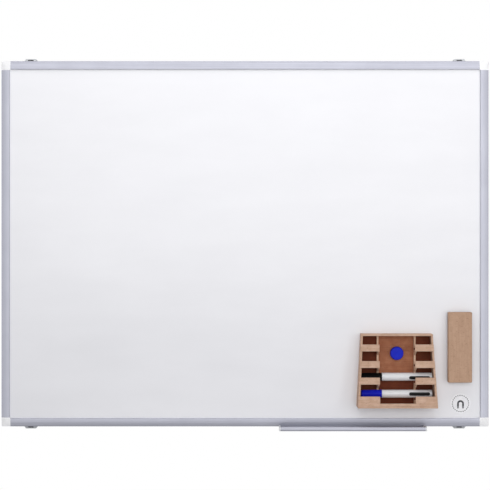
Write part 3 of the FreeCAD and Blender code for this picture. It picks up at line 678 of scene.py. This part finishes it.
@dataclass
class Frame:
    """Four rails with moulded corner caps, flat keys inside and a cross-head screw at each corner."""

    cap: Finish = GrainedSolid("moulded_pale_abs", "#F9F9FB", 0.34, "#FCFCFD")
    head_thick: float = mm(1.8)
    head_dome: float = mm(0.45)
    head_radius: float = mm(2.6)
    dome_shares: tuple[float, ...] = (0.0, 0.35, 0.6, 0.8, 0.92)
    rim_drop: float = mm(0.72)
    shank_radius: float = mm(1.4)
    shank_length: float = mm(30.0)
    point_length: float = mm(2.0)
    point_share: float = 1 / 3
    recess_length: float = mm(3.0)
    recess_width: float = mm(0.7)
    recess_depth: float = mm(0.9)
    steps: int = 32

    def build(self) -> None:
        """Dress rails, caps and keys, and make the screws."""
        dress(RAIL_ACROSS, "rail_top", "rail_bottom")
        dress(RAIL_UPRIGHT, "rail_left", "rail_right")
        dress(self.cap, *(f"corner_cap_{corner.value}" for corner in Corner))
        dress(ZINC_PLATED_STEEL, "corner_keys")
        add_piece("corner_cross_screws", self.screws(), "board", ("corner_screws",))

    def blank(self) -> Mesh:
        """Turn a screw without its recess: a domed head at the origin and its shank along -X.

        Returns:
            Mesh of the screw.
        """
        dome = [(-self.head_dome * share ** 2, self.head_radius * share) for share in self.dome_shares]
        rim = [(-self.rim_drop, self.head_radius), (-self.head_thick, self.head_radius)]
        shank = [(-self.head_thick, self.shank_radius),
                 (self.point_length - self.shank_length, self.shank_radius),
                 (-self.shank_length, self.shank_radius * self.point_share), (-self.shank_length, 0.0)]
        return turned("screw_blank", dome + rim + shank, self.steps)

    def screws(self) -> Mesh:
        """Cut a cross recess into the screw and set one at each corner, heads outwards.

        Returns:
            Mesh of the four screws.
        """
        low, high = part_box("corner_screws")
        recipe = NodeRecipe("corner_screw_set")
        tree = recipe.tree
        sizes = (("Span", high.x - low.x), ("Rise", high.z - low.z - 2 * self.head_radius),
                 ("Depth", (low.y + high.y) / 2), ("Recess Length", self.recess_length),
                 ("Recess Width", self.recess_width), ("Recess Depth", 2 * self.recess_depth))
        span, rise, depth, long, wide, deep = (
            recipe.value(label, Input.NUMBER, size) for label, size in sizes)
        slots = []
        for height, width in ((long, wide), (wide, long)):
            size = add_node(tree, "ShaderNodeCombineXYZ", {"X": deep, "Y": width, "Z": height})
            slots.append(add_node(tree, "GeometryNodeMeshCube", {"Size": size}))
        screw = add_node(tree, "GeometryNodeMeshBoolean", {
            "Mesh 1": recipe.shape("Screw Blank", self.blank()), "Mesh 2": slots}, operation="DIFFERENCE")
        flat = add_node(tree, "GeometryNodeMeshGrid", {
            "Size X": span, "Size Y": rise, "Vertices X": 2, "Vertices Y": 2})
        offset = add_node(tree, "ShaderNodeCombineXYZ", {"Y": depth})
        corners = add_node(tree, "GeometryNodeTransform", {
            "Geometry": flat, "Translation": offset, "Rotation": (math.pi / 2, 0.0, 0.0)})
        side = add_node(tree, "ShaderNodeSeparateXYZ", {0: add_node(tree, "GeometryNodeInputPosition")})
        on_left = add_node(tree, "ShaderNodeMath", {0: side.outputs["X"], 1: 0.0}, operation="LESS_THAN")
        half_turn = add_node(tree, "ShaderNodeMath", {0: on_left, 1: math.pi}, operation="MULTIPLY")
        return recipe.bake(recipe.planted(corners, screw, Z=half_turn), ZINC_PLATED_STEEL)


@dataclass
class WallClips:
    """Four pressed brackets behind the frame, each on a dark glide in the rail's groove."""

    glide: Finish = GrainedSolid("moulded_black_nylon", "#232325", 0.42, "#2B2B2D")

    def build(self) -> None:
        """Dress brackets and glides."""
        dress(ZINC_PLATED_STEEL, *(f"clip_bracket_{corner.value}" for corner in Corner))
        dress(self.glide, *(f"clip_glide_{corner.value}" for corner in Corner))


@dataclass
class PenTray:
    """Drawn trough that hooks into the bottom rail, closed by two moulded end caps."""

    end: Finish = GrainedSolid("moulded_grey_white_abs", "#D9DADD", 0.36, "#DFE0E2")

    def build(self) -> None:
        """Dress trough and end caps."""
        dress(RAIL_ACROSS, "pen_tray")
        dress(self.end, "tray_end_cap_left", "tray_end_cap_right")


@dataclass
class Organiser:
    """Glued fibreboard rack with four pairs of pockets and magnets in its back."""

    board: Finish = Fibreboard("sawn_fibreboard", "#C5A28A", 0.78)
    # The back board and the ledges get a dark red-brown that is painted shade: it stands in for the shadow
    # inside the pockets.
    inside: Finish = Fibreboard(
        "pressed_hardboard", "#662A10", 0.75, "#723416",
        streak_colour="#53210B", speck_colour="#3E1907", edge_colour="#442008")
    # The dividers get a paler copy of the board's colour with pale edges: painted light, for the light that
    # their faces catch.
    divider: Finish = Fibreboard(
        "sanded_fibreboard", "#DDB79B", 0.74, "#E6C4AA", streak_colour="#CBA286", edge_colour="#BE9070")
    # A guessed paper panel whose paler tone is also painted light: the lit back between the dividers,
    # against the painted pocket shade.
    facing: Finish = Fibreboard(
        "kraft_paper_facing", "#9C6143", 0.7, "#AE7454",
        streak_colour="#8A5035", speck_colour="#6A3A24", edge_colour="#7A4A33")
    facing_gap: float = mm(0.3)
    facing_thick: float = mm(0.15)
    facing_round: float = mm(2.0)
    facing_tier: int = 3
    tiers: int = 4

    def build(self) -> None:
        """Dress boards, pockets and magnets, with painted shade on the pockets' back and ledges, and face
        the back between the dividers.
        """
        boards = ("side_left", "side_right", "top", "bottom", "front")
        dress(self.board, *(f"organiser_{board}" for board in boards))
        dress(self.divider, "organiser_divider_left", "organiser_divider_right")
        # Painted pocket shade on the back board and on every ledge.
        dress(self.inside, "organiser_back")
        for tier in range(1, self.tiers + 1):
            dress(self.inside, f"organiser_ledges_{tier}")
        for tier in range(1, self.tiers):
            dress(self.board, f"organiser_slat_{tier}_left", f"organiser_slat_{tier}_right")
        dress(FERRITE, "organiser_magnets")
        add_piece("organiser_paper_facing", self.faced(), "organiser")

    def faced(self) -> Mesh:
        """Lay thin paper on the back board, from the top down to the ledge of the upper marker; the paper
        panel is a guess, and its paler tone is also painted light, the lit back between the dividers.

        Returns:
            Mesh of the paper.
        """
        low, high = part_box("organiser_back")
        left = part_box("organiser_divider_left")[1].x + self.facing_gap
        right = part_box("organiser_divider_right")[0].x - self.facing_gap
        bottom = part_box(f"organiser_ledges_{self.facing_tier}")[1].z
        top = high.z - self.facing_gap
        middle = Vector(((left + right) / 2, (bottom + top) / 2))
        rim = rounded_outline(Vector((right - left, top - bottom)) / 2, self.facing_round)
        rows = [[Vector((middle.x + point.x, depth, middle.y + point.y)) for point in rim]
                for depth in (low.y, low.y - self.facing_thick)]
        return lofted("organiser_paper_facing", rows, finish=self.facing)


@dataclass
class Marker:
    """Capped marker: a white barrel with a dark bar printed on it, and a ribbed cap."""

    name: str
    cap_finish: Finish
    bar_turn: float
    bar: Finish = GrainedSolid("black_pad_print", "#0C0C0E", 0.5, "#121214", specular=0.15)
    cap_end_radius: float = mm(7.7)
    cap_end_round: float = mm(1.4)
    cap_end_angles: tuple[float, ...] = (90.0, 68.0, 45.0, 22.0, 0.0)
    cap_wall: float = mm(1.5)
    cap_bore: float = mm(6.56)
    ring_inset: float = mm(3.0)
    ring_width: float = mm(1.2)
    ring_depth: float = mm(0.5)
    rib_count: int = 24
    rib_margin: float = mm(3.0)
    rib_height: float = mm(0.4)
    rib_half_width: float = mm(0.55)
    rib_fade: float = mm(1.6)
    rib_sink: float = mm(0.12)
    rib_stations: tuple[float, ...] = (0.0, 0.02, 0.05, 0.5, 0.95, 0.98, 1.0)
    rib_least: float = 0.25
    rib_steps: int = 6
    bar_length: float = mm(43.0)
    bar_width: float = mm(7.2)
    bar_margin: float = mm(0.8)
    bar_lift: float = mm(0.02)
    bar_thick: float = mm(0.03)
    bar_tip: float = mm(0.05)
    bar_columns: int = 40
    bar_rows: int = 8
    steps: int = 72

    def __post_init__(self) -> None:
        """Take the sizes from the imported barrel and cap, and set the cap's groove and waist along it."""
        low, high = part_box(f"{self.name}_barrel")
        cap_low, cap_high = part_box(f"{self.name}_cap")
        self.radius = (high.z - low.z) / 2
        self.axis = Vector((0.0, (low.y + high.y) / 2, (low.z + high.z) / 2))
        self.tail = high.x
        self.cap_start = cap_low.x
        self.cap_length = cap_high.x - cap_low.x
        self.ring = self.cap_length - self.ring_inset
        self.waist = (self.rib_margin, self.ring - self.rib_margin)

    def build(self) -> None:
        """Dress barrel, plug, nib and core, and make the cap and the printed bar."""
        dress(WHITE_POLYPROPYLENE, f"{self.name}_barrel", f"{self.name}_end_plug")
        dress(INK_FIBRE, f"{self.name}_nib", f"{self.name}_ink_core")
        cap = f"{self.name}_cap"
        add_piece(f"{self.name}_ribbed_cap", self.ribbed_cap(), cap, (cap,))
        add_piece(f"{self.name}_printed_bar", self.printed_bar(), self.name)

    def skin_radius(self, along: float) -> float:
        """Outer radius of the tapered cap at a distance from its closed end."""
        share = along / self.ring
        return self.cap_end_radius + (self.radius - self.cap_end_radius) * share

    def cap_core(self) -> Mesh:
        """Turn a cap without ribs: rounded end, waist for the ribs, ring groove, collar and bore.

        Returns:
            Mesh of the cap, with its closed end at the origin.
        """
        rounding = [(self.cap_end_round * (1 - math.sin(turn)),
                     self.cap_end_radius - self.cap_end_round * (1 - math.cos(turn)))
                    for turn in map(math.radians, self.cap_end_angles)]
        start, end = self.waist
        dip = self.rib_height
        skin = [(along, self.skin_radius(along) - depth) for along, depth in (
            (start - dip, 0.0), (start, dip), (end, dip), (end + dip, 0.0))]
        ring_end = self.ring + self.ring_width
        floor = self.radius - self.ring_depth
        collar = [(self.ring, self.radius), (self.ring, floor), (ring_end, floor), (ring_end, self.radius),
                  (self.cap_length, self.radius), (self.cap_length, self.cap_bore),
                  (self.cap_wall, self.cap_bore), (self.cap_wall, 0.0)]
        return turned(f"{self.name}_cap_core", [(0.0, 0.0)] + rounding + skin + collar, self.steps)

    def rib(self) -> Mesh:
        """Shape one rounded rib along the top of the cap, fading out at its ends.

        Returns:
            Mesh of the rib.
        """
        start, end = self.waist
        rows = []
        for share in self.rib_stations:
            along = start + share * (end - start)
            fade = min(along - start, end - along) / self.rib_fade
            rise = (self.rib_height + self.rib_sink) * max(self.rib_least, math.sqrt(min(1.0, fade)))
            foot = self.skin_radius(along) - self.rib_height - self.rib_sink
            rows.append([
                Vector((along, self.rib_half_width * math.cos(turn), foot + rise * math.sin(turn)))
                for turn in (math.pi * step / self.rib_steps for step in range(self.rib_steps + 1))])
        return lofted(f"{self.name}_rib", rows)

    def ribbed_cap(self) -> Mesh:
        """Set the ribs round the cap and move it onto its marker.

        Returns:
            Mesh of the cap in its place.
        """
        recipe = NodeRecipe(f"{self.name}_cap_ribs")
        tree = recipe.tree
        count = recipe.value("Rib Count", Input.COUNT, self.rib_count)
        core = recipe.shape("Cap Core", self.cap_core())
        rib = recipe.shape("Rib", self.rib())
        starts = add_node(tree, "GeometryNodeMeshLine", {"Count": count, "Offset": (0.0, 0.0, 0.0)})
        step = add_node(tree, "ShaderNodeMath", {0: math.tau, 1: count}, operation="DIVIDE")
        turn = add_node(tree, "ShaderNodeMath", {
            0: add_node(tree, "GeometryNodeInputIndex"), 1: step}, operation="MULTIPLY")
        ribs = recipe.planted(starts, rib, X=turn)
        whole = add_node(tree, "GeometryNodeJoinGeometry", {0: [core, ribs]})
        mesh = recipe.bake(whole, self.cap_finish)
        mesh.transform(Matrix.Translation(self.axis + Vector((self.cap_start, 0.0, 0.0))))
        return mesh

    def printed_bar(self) -> Mesh:
        """Bend a thin bar with round ends round the front of the barrel.

        Returns:
            Mesh of the bar in its place.
        """
        start = self.tail - self.bar_margin - self.bar_length
        half = self.bar_width / 2
        skin = self.radius + self.bar_lift
        shares = [2 * row / self.bar_rows - 1 for row in range(self.bar_rows + 1)]
        rows = []
        for column in range(self.bar_columns + 1):
            along = self.bar_length * (1 - math.cos(math.pi * column / self.bar_columns)) / 2
            inset = max(0.0, half - min(along, self.bar_length - along))
            reach = math.sqrt(max(half ** 2 - inset ** 2, self.bar_tip ** 2))
            turns = [self.bar_turn + reach / self.radius * share for share in shares]
            rows.append([
                self.axis + Vector((start + along, -radius * math.cos(turn), radius * math.sin(turn)))
                for radius, arc in ((skin, turns), (skin + self.bar_thick, turns[::-1])) for turn in arc])
        return lofted(f"{self.name}_bar", rows, finish=self.bar)


@dataclass
class RoundMagnet:
    """Pull-off magnet: a domed blue shell over a ferrite disc."""

    shell: Finish = GrainedSolid(
        "glossy_blue_abs", "#1220B8", 0.34, "#1828C2", relief_mm=0.006, specular=0.12)

    def build(self) -> None:
        """Dress shell and disc."""
        dress(self.shell, "magnet_shell")
        dress(FERRITE, "magnet_disc")


@dataclass
class Eraser:
    """Fibreboard block with magnets let into its back, and a felt pad over them."""

    block: Finish = Fibreboard(
        "planed_fibreboard", "#BA987F", 0.7, "#C4A289",
        streak_colour="#AB8870", streaks=Pattern((2.4, 46.0, 46.0), 3.0))
    felt: Finish = PressedFelt("needled_grey_felt", "#4C4D52", 0.95)
    corner_round: float = mm(1.2)
    point_gap: float = mm(3.0)
    rows: int = 7
    rim_inset: float = mm(0.25)
    rim_power: int = 6
    wobble: float = mm(0.3)
    wobble_length: float = mm(7.0)
    fibre_length: float = mm(0.8)
    fibre_radius: float = mm(0.05)
    fibre_density: float = 1.3e6
    fibre_tilt: float = 0.9
    fibre_sides: int = 3
    # Height, lean and girth of a fibre at its root, its bend and its tip.
    fibre_shape: tuple[tuple[float, ...], ...] = ((0.0, 0.0, 1.0), (0.495, 0.12, 0.8), (0.9, 0.4, 0.3))
    side_limit: float = 0.5
    fill: float = 0.9
    seed: int = 4

    def build(self) -> None:
        """Dress block and magnets, and make the felt pad."""
        dress(self.block, "eraser_block")
        dress(FERRITE, "eraser_magnets")
        pad = add_piece("eraser_felt_pad", self.fuzzy_pad(), "eraser", ("eraser_felt",))

    def outline(self, inset: float, depth: float) -> list[Vector]:
        """Rounded outline of the pad at one depth.

        Args:
            inset: How far the outline stays inside the pad's box, before its wobble.
            depth: Place of the outline along Y.

        Returns:
            Points of the outline, in order.
        """
        low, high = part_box("eraser_felt")
        half = Vector((high.x - low.x, high.z - low.z)) / 2
        middle = (low + high) / 2
        points = rounded_outline(half, self.corner_round)
        loop = []
        for near, far in zip(points, points[1:] + points[:1]):
            pieces = max(1, round((far - near).length / self.point_gap))
            loop += [near.lerp(far, piece / pieces) for piece in range(pieces)]
        rim = []
        for point in loop:
            place = Vector((middle.x + point.x, depth, middle.z + point.y))
            pulled = inset + self.wobble * (0.5 + 0.5 * noise.noise(place / self.wobble_length))
            rim.append(place - pulled * Vector((point.x / half.x, 0.0, point.y / half.y)))
        return rim

    def pad(self) -> Mesh:
        """Shape a pad with soft rims and slightly uneven sides.

        Returns:
            Mesh of the pad in its place.
        """
        low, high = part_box("eraser_felt")
        shares = [row / (self.rows - 1) for row in range(self.rows)]
        return lofted("felt_pad_body", [
            self.outline(self.rim_inset * abs(2 * share - 1) ** self.rim_power,
                         low.y + share * (high.y - low.y)) for share in shares])

    def fibre(self) -> Mesh:
        """Shape one short bent fibre that stands up along Z.

        Returns:
            Mesh of the fibre.
        """
        turns = [math.tau * side / self.fibre_sides for side in range(self.fibre_sides)]
        rows = [[Vector((self.fibre_length * lean + self.fibre_radius * girth * math.cos(turn),
                         self.fibre_radius * girth * math.sin(turn),
                         self.fibre_length * height)) for turn in turns]
                for height, lean, girth in self.fibre_shape]
        return lofted("felt_fibre", rows)

    def fuzzy_pad(self) -> Mesh:
        """Scatter loose fibres over the sides of the pad.

        Returns:
            Mesh of the pad with its fibres.
        """
        recipe = NodeRecipe("felt_fibres")
        tree = recipe.tree
        density = recipe.value("Fibres Per Square Metre", Input.NUMBER, self.fibre_density)
        tilt = recipe.value("Fibre Tilt", Input.NUMBER, self.fibre_tilt)
        seed = recipe.value("Seed", Input.COUNT, self.seed)
        pad = recipe.shape("Pad", self.pad())
        fibre = recipe.shape("Fibre", self.fibre())
        facing = add_node(tree, "ShaderNodeSeparateXYZ", {0: add_node(tree, "GeometryNodeInputNormal")})
        outward = add_node(tree, "ShaderNodeMath", {0: facing.outputs["Y"]}, operation="ABSOLUTE")
        on_side = add_node(tree, "ShaderNodeMath", {0: outward, 1: self.side_limit}, operation="LESS_THAN")
        roots = add_node(tree, "GeometryNodeDistributePointsOnFaces", {
            "Mesh": pad, "Selection": on_side, "Density": density, "Seed": seed})
        back = add_node(tree, "ShaderNodeMath", {0: tilt, 1: -1.0}, operation="MULTIPLY")
        least = add_node(tree, "ShaderNodeCombineXYZ", {"X": back, "Y": back})
        most = add_node(tree, "ShaderNodeCombineXYZ", {"X": tilt, "Y": tilt, "Z": math.tau})
        lean = add_node(tree, "FunctionNodeRandomValue", {
            "Min": least, "Max": most, "Seed": seed}, data_type="FLOAT_VECTOR")
        leaning = add_node(tree, "FunctionNodeEulerToRotation", {0: lean})
        grown = add_node(tree, "FunctionNodeRotateRotation", {
            0: roots.outputs["Rotation"], 1: leaning}, rotation_space="LOCAL")
        fuzz = add_node(tree, "GeometryNodeInstanceOnPoints", {
            "Points": roots, "Instance": fibre, "Rotation": grown})
        whole = add_node(tree, "GeometryNodeJoinGeometry", {0: [pad, fuzz]})
        return recipe.bake(whole, self.felt)


@dataclass
class RoundLabel:
    """White film at the lower right, printed with a dashed ring and the common sign for a magnet."""

    film: Finish = GrainedSolid("white_vinyl_film", "#F4F4F7", 0.3, "#F0F0F4")
    ink: Finish = GrainedSolid("grey_screen_print", "#37383C", 0.5, "#404145", specular=0.2)
    from_right: float = mm(57.4)
    from_bottom: float = mm(46.8)
    radius: float = mm(20.5)
    ring_inner: float = mm(15.9)
    ring_outer: float = mm(17.7)
    dashes: int = 24
    sign_outer: float = mm(7.0)
    sign_inner: float = mm(3.4)
    sign_leg: float = mm(6.6)
    sign_tip: float = mm(2.2)
    sign_gap: float = mm(0.8)
    sign_steps: int = 24
    thick: float = mm(0.12)
    ink_thick: float = mm(0.02)
    steps: int = 96

    def build(self) -> None:
        """Put film and sign on the writing face."""
        place = Matrix.Translation((
            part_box("rail_right")[1].x - self.from_right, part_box("writing_sheet")[0].y,
            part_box("rail_bottom")[0].z + self.from_bottom))
        for name, mesh in (("round_label", self.disc()), ("round_label_sign", self.sign())):
            mesh.transform(place)
            add_piece(name, mesh, "board")

    def disc(self) -> Mesh:
        """Cut the round film and print the dashed ring on its front.

        Returns:
            Mesh of the film, facing -Y.
        """
        profile = [(self.thick, 0.0), (self.thick, self.ring_inner), (self.thick, self.ring_outer),
                   (self.thick, self.radius - self.thick), (0.0, self.radius), (0.0, 0.0)]
        mesh = turned("round_label", profile, self.steps)
        mesh.materials.append(self.film.material())
        mesh.materials.append(self.ink.material())
        for polygon in mesh.polygons:
            across, up = polygon.center.y, polygon.center.z
            on_ring = self.ring_inner < math.hypot(across, up) < self.ring_outer
            dash = math.floor(2 * self.dashes * math.atan2(up, across) / math.tau) % 2 == 0
            polygon.material_index = int(on_ring and dash and polygon.center.x > self.thick / 2)
        mesh.transform(Matrix.Rotation(-math.pi / 2, 4, "Z"))
        return mesh

    def sign(self) -> Mesh:
        """Print a horseshoe magnet with its two tips set off from its bow.

        Returns:
            Mesh of the sign, facing -Y.
        """
        inner, outer = self.sign_inner, self.sign_outer
        turns = [math.pi * step / self.sign_steps for step in range(self.sign_steps + 1)]
        centre = (self.sign_leg - outer) / 2
        foot = centre - self.sign_leg
        top = foot - self.sign_gap
        tip = top - self.sign_tip
        bow = [(outer * math.cos(turn), centre + outer * math.sin(turn)) for turn in turns]
        bow += [(-outer, foot), (-inner, foot)]
        bow += [(inner * math.cos(turn), centre + inner * math.sin(turn)) for turn in reversed(turns)]
        bow += [(inner, foot), (outer, foot)]
        tips = [[(side * inner, top), (side * inner, tip), (side * outer, tip), (side * outer, top)]
                for side in (-1.0, 1.0)]
        bodies = [[[Vector((across, -depth, up)) for across, up in outline]
                   for depth in (self.thick, self.thick + self.ink_thick)] for outline in (bow, *tips)]
        return lofted("round_label_sign", *bodies, finish=self.ink)


@dataclass(frozen=True)
class Softbox:
    """Rectangular studio lamp that points at a place on the board."""

    name: str
    place: tuple[float, float, float]
    aim: tuple[float, float, float]
    width: float
    height: float
    watts: float

    def hang(self) -> None:
        """Add the lamp to the scene."""
        lamp = bpy.data.lights.new(self.name, "AREA")
        lamp.shape = "RECTANGLE"
        lamp.size = self.width
        lamp.size_y = self.height
        lamp.energy = self.watts
        holder = put(self.name, lamp)
        holder.location = self.place
        holder.rotation_euler = (Vector(self.aim) - Vector(self.place)).to_track_quat("-Z", "Y").to_euler()
        LOG.info("%s hung at %.1f W", self.name, self.watts)


@dataclass
class Studio:
    """White room with a pale floor, soft lamps and a camera square to the board."""

    fill_strength: float = 0.29
    floor_drop: float = 0.2
    floor_size: float = 4.0
    floor_reach: tuple[float, float] = (1.15, 0.5)
    floor_fade: tuple[float, float] = (0.45, 1.0)
    floor_least: float = 0.5
    floor_colour: str = "#E4E4E6"
    camera_distance: float = 3.3
    sensor: float = 36.0
    photo_pixels: float = 490.0
    board_pixels: float = 487.5
    board_centre_pixel: tuple[float, float] = (245.05, 243.75)
    lamps: tuple[Softbox, ...] = (
        Softbox("front_softbox", (0.15, -4.5, 0.86), (0.0, 0.0, 0.1), 3.0, 2.2, 64.5),
        Softbox("overhead_softbox", (0.1, -0.65, 0.95), (0.1, 0.0, 0.2), 1.8, 0.5, 4.0),
        Softbox("left_softbox", (-2.0, -2.6, 0.1), (-0.2, 0.0, 0.0), 0.8, 0.9, 4.0),
        Softbox("right_softbox", (2.0, -2.6, 0.0), (0.2, 0.0, 0.0), 0.8, 0.9, 11.0),
        Softbox("low_softbox", (0.25, -1.2, -0.5), (0.25, 0.0, -0.3), 1.5, 0.08, 0.6),
    )

    def build(self) -> None:
        """Light the room, lay the floor and set the camera."""
        self.light()
        self.lay_floor()
        for lamp in self.lamps:
            lamp.hang()
        self.set_camera()
        bpy.context.scene.view_settings.view_transform = "Standard"

    def seen(self, tree: NodeTree) -> Source:
        """Find what the camera sees directly, mirrored or through glass.

        Args:
            tree: Tree of the world or of a material.

        Returns:
            Source of 1 there and of 0 elsewhere.
        """
        path = add_node(tree, "ShaderNodeLightPath")
        seen = path.outputs["Is Camera Ray"]
        for ray in ("Is Glossy Ray", "Is Transmission Ray"):
            seen = add_node(tree, "ShaderNodeMath", {0: seen, 1: path.outputs[ray]}, operation="MAXIMUM")
        return seen

    def light(self) -> None:
        """White world that lights the object more softly than it looks."""
        world = bpy.data.worlds.new("white_room")
        tree = cleared(world)
        fill, white = (
            add_node(tree, "ShaderNodeBackground", {"Color": linear(WHITE), "Strength": strength})
            for strength in (self.fill_strength, 1.0))
        either = add_node(tree, "ShaderNodeMixShader", {0: self.seen(tree), 1: fill, 2: white})
        add_node(tree, "ShaderNodeOutputWorld", {"Surface": either})
        bpy.context.scene.world = world

    def lay_floor(self) -> None:
        """Pale floor that keeps the shadow near the board and runs out into the white of the room."""
        shell = bmesh.new()
        bmesh.ops.create_grid(shell, x_segments=1, y_segments=1, size=self.floor_size)
        mesh = finished(shell, "studio_floor")
        mesh.transform(Matrix.Translation((0.0, 0.0, CAD_BOX[0].z - self.floor_drop)))
        material = bpy.data.materials.new("painted_studio_floor")
        tree = cleared(material)
        where = add_node(tree, "ShaderNodeTexCoord").outputs["Object"]
        counted = add_node(tree, "ShaderNodeMapping", {
            "Vector": where, "Scale": (*(1.0 / reach for reach in self.floor_reach), 0.0)})
        away = add_node(tree, "ShaderNodeVectorMath", {0: counted}, operation="LENGTH")
        runout = add_node(tree, "ShaderNodeMapRange", {
            "Value": away.outputs["Value"], "To Min": self.floor_least,
            "From Min": self.floor_fade[0], "From Max": self.floor_fade[1]}, interpolation_type="SMOOTHSTEP")
        share = add_node(tree, "ShaderNodeMath", {0: runout, 1: self.seen(tree)}, operation="MULTIPLY")
        paint = add_node(tree, "ShaderNodeBsdfDiffuse", {"Color": linear(self.floor_colour)})
        white = add_node(tree, "ShaderNodeEmission", {"Color": linear(WHITE), "Strength": 1.0})
        either = add_node(tree, "ShaderNodeMixShader", {0: share, 1: paint, 2: white})
        add_node(tree, "ShaderNodeOutputMaterial", {"Surface": either})
        mesh.materials.append(material)
        put("studio_floor", mesh)

    def set_camera(self) -> None:
        """Camera square to the board, framed as the photograph is."""
        low, high = CAD_BOX
        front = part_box("rail_left")[0].y
        pixel = (high.x - low.x) / self.board_pixels
        middle = self.photo_pixels / 2
        data = bpy.data.cameras.new("photo_camera")
        data.sensor_width = self.sensor
        data.sensor_fit = "HORIZONTAL"
        data.lens = self.sensor * self.camera_distance / (self.photo_pixels * pixel)
        camera = put("photo_camera", data)
        camera.location = ((middle - self.board_centre_pixel[0]) * pixel, front - self.camera_distance,
                           (self.board_centre_pixel[1] - middle) * pixel)
        camera.rotation_euler = (math.pi / 2, 0.0, 0.0)
        bpy.context.scene.camera = camera


def main() -> None:
    """Build the sub-assemblies in order, then the studio."""
    logging.basicConfig(level=logging.INFO, format="%(name)s: %(message)s")
    assemblies = (
        Panel(), Frame(), WallClips(), PenTray(), Organiser(),
        Marker("marker_black", BLACK_POLYPROPYLENE, bar_turn=math.radians(-12.0)),
        Marker("marker_blue", BLUE_POLYPROPYLENE, bar_turn=0.0),
        RoundMagnet(), Eraser(), RoundLabel(), Studio())
    for assembly in assemblies:
        assembly.build()
        LOG.info("%s done", type(assembly).__name__)


if __name__ == "__main__":
    main()
